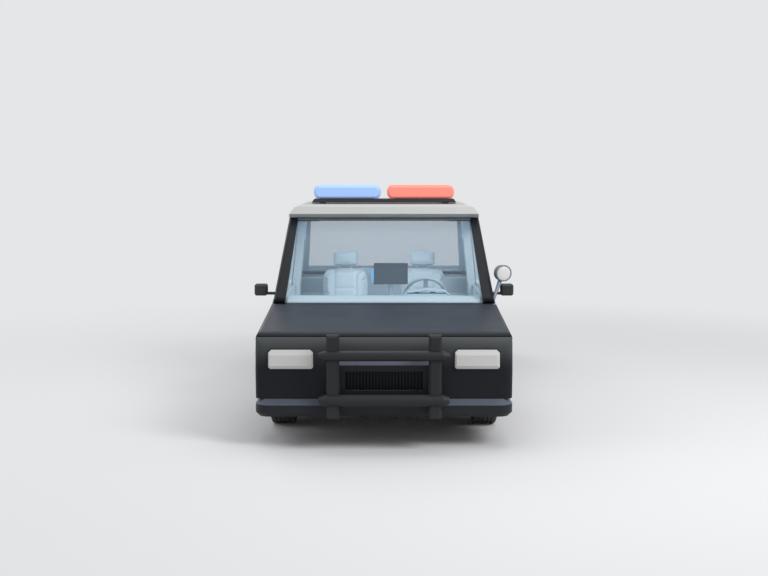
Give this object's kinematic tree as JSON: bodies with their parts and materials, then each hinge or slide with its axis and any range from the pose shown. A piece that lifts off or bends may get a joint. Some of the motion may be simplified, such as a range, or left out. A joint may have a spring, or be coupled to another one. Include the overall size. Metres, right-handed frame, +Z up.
{
  "type": "police patrol car",
  "caption": "Four-door police patrol car with a roof light bar, push bumper and pillar spotlight; wheels, steering, doors, hood and trunk lid move.",
  "frame": {"origin": "on the ground under the middle of the car's box", "axes": "+X to the car's left, +Y towards its tail, +Z up"},
  "size_m": [2.274, 5.2, 1.936],
  "materials": {
    "black_paint": "gloss black body paint",
    "white_paint": "gloss white body paint",
    "bumper": "satin black moulded bumper",
    "grille": "black moulded grille",
    "headlamp": "pale lamp lens",
    "push_bar": "black powder coat",
    "underbody": "matt black underseal",
    "tail_lamp": "red lamp lens",
    "screen_glass": "pale blue tinted glass",
    "side_glass": "blue tinted glass",
    "lamp_metal": "bright lamp housing",
    "black_plastic": "black moulded plastic",
    "red_lens": "lit red lens",
    "blue_lens": "lit blue lens",
    "interior_plastic": "grained pale blue-grey interior plastic",
    "terminal_case": "dark grey case",
    "seat_cloth": "pale blue-grey woven seat cloth",
    "cast_metal": "raw casting",
    "chassis_steel": "black chassis paint",
    "exhaust_steel": "dull exhaust steel",
    "tyre_rubber": "black tyre rubber",
    "wheel_steel": "black painted steel wheel"
  },
  "bodies": {
    "body": {"front_fenders": "black_paint", "nose_panel": "black_paint", "front_bumper": "bumper", "rear_bumper": "bumper", "grille": "grille", "headlamps": "headlamp", "push_bumper": "push_bar", "cabin_frame": "black_paint", "firewall": "black_paint", "floor_pan": "underbody", "rear_body": "black_paint", "parcel_shelf": "interior_plastic", "rear_wheelhouses": "underbody", "tail_lamps": "tail_lamp", "windshield": "screen_glass", "rear_glass": "screen_glass", "roof_panel": "white_paint", "spotlight": "lamp_metal", "light_bar_base": "black_plastic", "light_bar_red": "red_lens", "light_bar_blue": "blue_lens", "dashboard": "interior_plastic", "console": "interior_plastic", "terminal": "terminal_case", "front_seats": "seat_cloth", "rear_seat": "seat_cloth", "engine": "cast_metal", "front_suspension": "chassis_steel", "rear_axle": "chassis_steel", "exhaust": "exhaust_steel"},
    "hood": {"hood": "black_paint"},
    "trunk_lid": {"trunk_lid": "black_paint"},
    "steering_wheel": {"steering_wheel": "interior_plastic"},
    "door_front_left": {"door_front_left": "white_paint", "glass_front_left": "side_glass", "mirror_left": "black_plastic"},
    "door_rear_left": {"door_rear_left": "white_paint", "glass_rear_left": "side_glass"},
    "knuckle_left": {"knuckle_left": "cast_metal"},
    "wheel_front_left": {"tyre_front_left": "tyre_rubber", "rim_front_left": "wheel_steel"},
    "wheel_rear_left": {"tyre_rear_left": "tyre_rubber", "rim_rear_left": "wheel_steel"},
    "door_front_right": {"door_front_right": "white_paint", "glass_front_right": "side_glass", "mirror_right": "black_plastic"},
    "door_rear_right": {"door_rear_right": "white_paint", "glass_rear_right": "side_glass"},
    "knuckle_right": {"knuckle_right": "cast_metal"},
    "wheel_front_right": {"tyre_front_right": "tyre_rubber", "rim_front_right": "wheel_steel"},
    "wheel_rear_right": {"tyre_rear_right": "tyre_rubber", "rim_rear_right": "wheel_steel"}
  },
  "joints": [
    {"name": "hood_hinge", "type": "hinge", "parent": "body", "child": "hood", "pos_m": [0, -1.19, 0.949], "axis": [1, 0, 0], "range_deg": [-55, 0]},
    {"name": "trunk_hinge", "type": "hinge", "parent": "body", "child": "trunk_lid", "pos_m": [0, 1.81, 1], "axis": [1, 0, 0], "range_deg": [0, 75]},
    {"name": "door_front_left_hinge", "type": "hinge", "parent": "body", "child": "door_front_left", "pos_m": [0.974, -1.02, 0.6], "axis": [0, 0, 1], "range_deg": [-68, 0]},
    {"name": "door_rear_left_hinge", "type": "hinge", "parent": "body", "child": "door_rear_left", "pos_m": [0.974, 0.196, 0.6], "axis": [0, 0, 1], "range_deg": [-68, 0]},
    {"name": "steer_left", "type": "hinge", "parent": "body", "child": "knuckle_left", "pos_m": [0.78, -1.47, 0.345], "axis": [0, 0, 1], "range_deg": [-30, 30]},
    {"name": "wheel_front_left_spin", "type": "hinge", "parent": "knuckle_left", "child": "wheel_front_left", "pos_m": [0.824, -1.47, 0.345], "axis": [1, 0, 0], "continuous": true},
    {"name": "wheel_rear_left_spin", "type": "hinge", "parent": "body", "child": "wheel_rear_left", "pos_m": [0.824, 1.45, 0.345], "axis": [1, 0, 0], "continuous": true},
    {"name": "door_front_right_hinge", "type": "hinge", "parent": "body", "child": "door_front_right", "pos_m": [-0.974, -1.02, 0.6], "axis": [0, 0, 1], "range_deg": [0, 68]},
    {"name": "door_rear_right_hinge", "type": "hinge", "parent": "body", "child": "door_rear_right", "pos_m": [-0.974, 0.196, 0.6], "axis": [0, 0, 1], "range_deg": [0, 68]},
    {"name": "steer_right", "type": "hinge", "parent": "body", "child": "knuckle_right", "pos_m": [-0.78, -1.47, 0.345], "axis": [0, 0, 1], "range_deg": [-30, 30]},
    {"name": "wheel_front_right_spin", "type": "hinge", "parent": "knuckle_right", "child": "wheel_front_right", "pos_m": [-0.824, -1.47, 0.345], "axis": [1, 0, 0], "continuous": true},
    {"name": "wheel_rear_right_spin", "type": "hinge", "parent": "body", "child": "wheel_rear_right", "pos_m": [-0.824, 1.45, 0.345], "axis": [1, 0, 0], "continuous": true},
    {"name": "steering_wheel_turn", "type": "hinge", "parent": "body", "child": "steering_wheel", "pos_m": [0.38, -0.33, 0.93], "axis": [0, 0.9063, 0.4226], "range_deg": [-450, 450]}
  ],
  "couplings": [
    {"joint": "steer_right", "follows": "steer_left", "ratio": 1},
    {"joint": "steering_wheel_turn", "follows": "steer_left", "ratio": 15}
  ]
}
